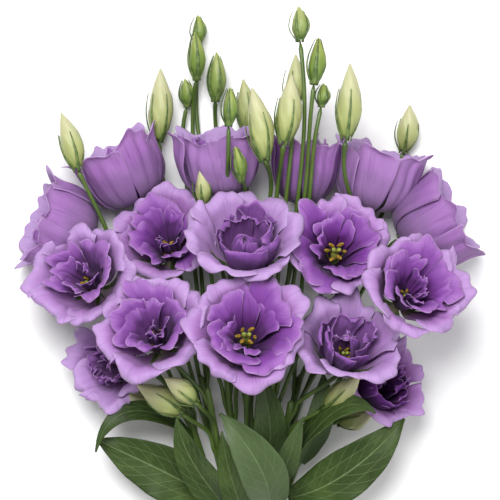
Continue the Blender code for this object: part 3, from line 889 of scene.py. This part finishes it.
def make_leaf(name):
    line, half_width, normal = blade_line(name)
    master, u, v = LEAF_GRID
    run = np.linspace(0, 1, len(line))
    tangents = np.gradient(line, axis=0)
    tangents /= np.linalg.norm(tangents, axis=1)[:, None]
    ups = normal - tangents * (tangents @ normal)[:, None]
    ups /= np.linalg.norm(ups, axis=1)[:, None]
    rights = np.cross(ups, tangents)

    def at(table):
        return np.column_stack([np.interp(v, run, table[:, k]) for k in range(3)])

    phase = rng.uniform(0, 2 * math.pi, 3)
    width = half_width * LEAF_WIDTH(v)
    wave = np.abs(u) ** 2 * (np.sin(9 * v + phase[0] + 1.6 * u) + 0.4 * np.sin(21 * v + phase[1]))
    lift = 0.22 * np.abs(u) ** 1.2 * width + 0.085 * half_width * wave * np.clip(v * 5, 0, 1)
    lift += 0.10 * half_width * np.sin(math.pi * v + phase[2]) * np.abs(u)
    points = at(line) + at(rights) * (u * width * 0.98)[:, None] + at(ups) * lift[:, None]
    leaf = shaped(master, name + "_blade", rest_on_table(points), [LEAF], GLAUCOUS.get(name, 0.08))
    apply_modifier(leaf, "SOLIDIFY", thickness=LEAF_WALL, offset=0)
    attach(leaf, "root")
    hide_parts(name)


leaf_names = sorted(node for node in nodes if node.startswith("leaf_"))
for name in leaf_names:
    make_leaf(name)
print(len(leaf_names), "leaves")

# %% [markdown]
# The rubber band keeps its CAD shape and gets the speckled tan of natural rubber.

# %% Band
nodes["band"].data.materials.clear()
nodes["band"].data.materials.append(RUBBER)
print("band finished")

# %% [markdown]
# The masters were only patterns to copy from, so they go before the scene is lit.

# %% Clearing the masters
for master in (LONG_TUBE, SHORT_TUBE, BEAD, BUD_SHELL, PETAL_GRID, SEPAL_GRID, LEAF_GRID):
    bpy.data.objects.remove(master[0])
print("masters removed")

# %% [markdown]
# The bunch lies on a plain pale table, a large plane with a faint cloudiness so that it isn't one dead tone.

# %% Table
def make_table():
    bpy.ops.object.select_all(action="DESELECT")
    bpy.ops.mesh.primitive_plane_add(size=8)
    table = bpy.context.object
    table.name = "table"
    made = Finish("table_white", Roughness=0.7)
    clouds = made.noise(made.places(), 3.0, 2.0)
    made.paint(made.ramp(clouds, [(0.3, (0.90, 0.90, 0.91)), (0.7, (0.94, 0.94, 0.94))]))
    table.data.materials.append(made.material)


make_table()
print("table laid")

# %% [markdown]
# One large soft light high over the flowers gives the petals their shading, a weak one from the stems' side
# opens the shadows, and a white surrounding lights all the rest evenly.

# %% Light
BUNCH_CENTRE = (0, 0.1, 0)
SURROUNDING_BRIGHTNESS = 0.45


def make_light(name, place, size, power):
    lamp = bpy.data.lights.new(name, "AREA")
    lamp.shape, lamp.size, lamp.energy = "DISK", size, power
    made = bpy.data.objects.new(name, lamp)
    made.location = place
    made.rotation_euler = (Vector(BUNCH_CENTRE) - Vector(place)).to_track_quat("-Z", "Y").to_euler()
    bpy.context.scene.collection.objects.link(made)


make_light("overhead_soft_light", (-0.20, 0.70, 1.6), 0.9, 35)
make_light("front_fill", (0.9, -0.5, 1.3), 1.2, 7)
world = bpy.data.worlds.new("studio")
world.use_nodes = True
background = world.node_tree.nodes["Background"]
background.inputs["Color"].default_value = (1, 1, 1, 1)
background.inputs["Strength"].default_value = SURROUNDING_BRIGHTNESS
bpy.context.scene.world = world
bpy.context.scene.view_settings.view_transform = "Standard"
print("two lamps and a white surrounding")

# %% [markdown]
# The camera looks straight down through a long lens, so that near and far flowers keep their true sizes. Its
# frame holds the flowers, the buds and the first leaves, and the lower stems run out of it.

# %% Camera
VIEW_CENTRE = (0.0015, 0.1096)
VIEW_WIDTH = 0.300
VIEW_HEIGHT = 2.4
FLOWER_HEIGHT = 0.06  # the view is VIEW_WIDTH wide at this height over the table

lens = bpy.data.cameras.new("camera")
lens.lens = lens.sensor_width * (VIEW_HEIGHT - FLOWER_HEIGHT) / VIEW_WIDTH
lens.clip_end = 20
camera = bpy.data.objects.new("camera", lens)
camera.location = (*VIEW_CENTRE, VIEW_HEIGHT)
bpy.context.scene.collection.objects.link(camera)
bpy.context.scene.camera = camera
print("the lens is", round(lens.lens), "mm long")
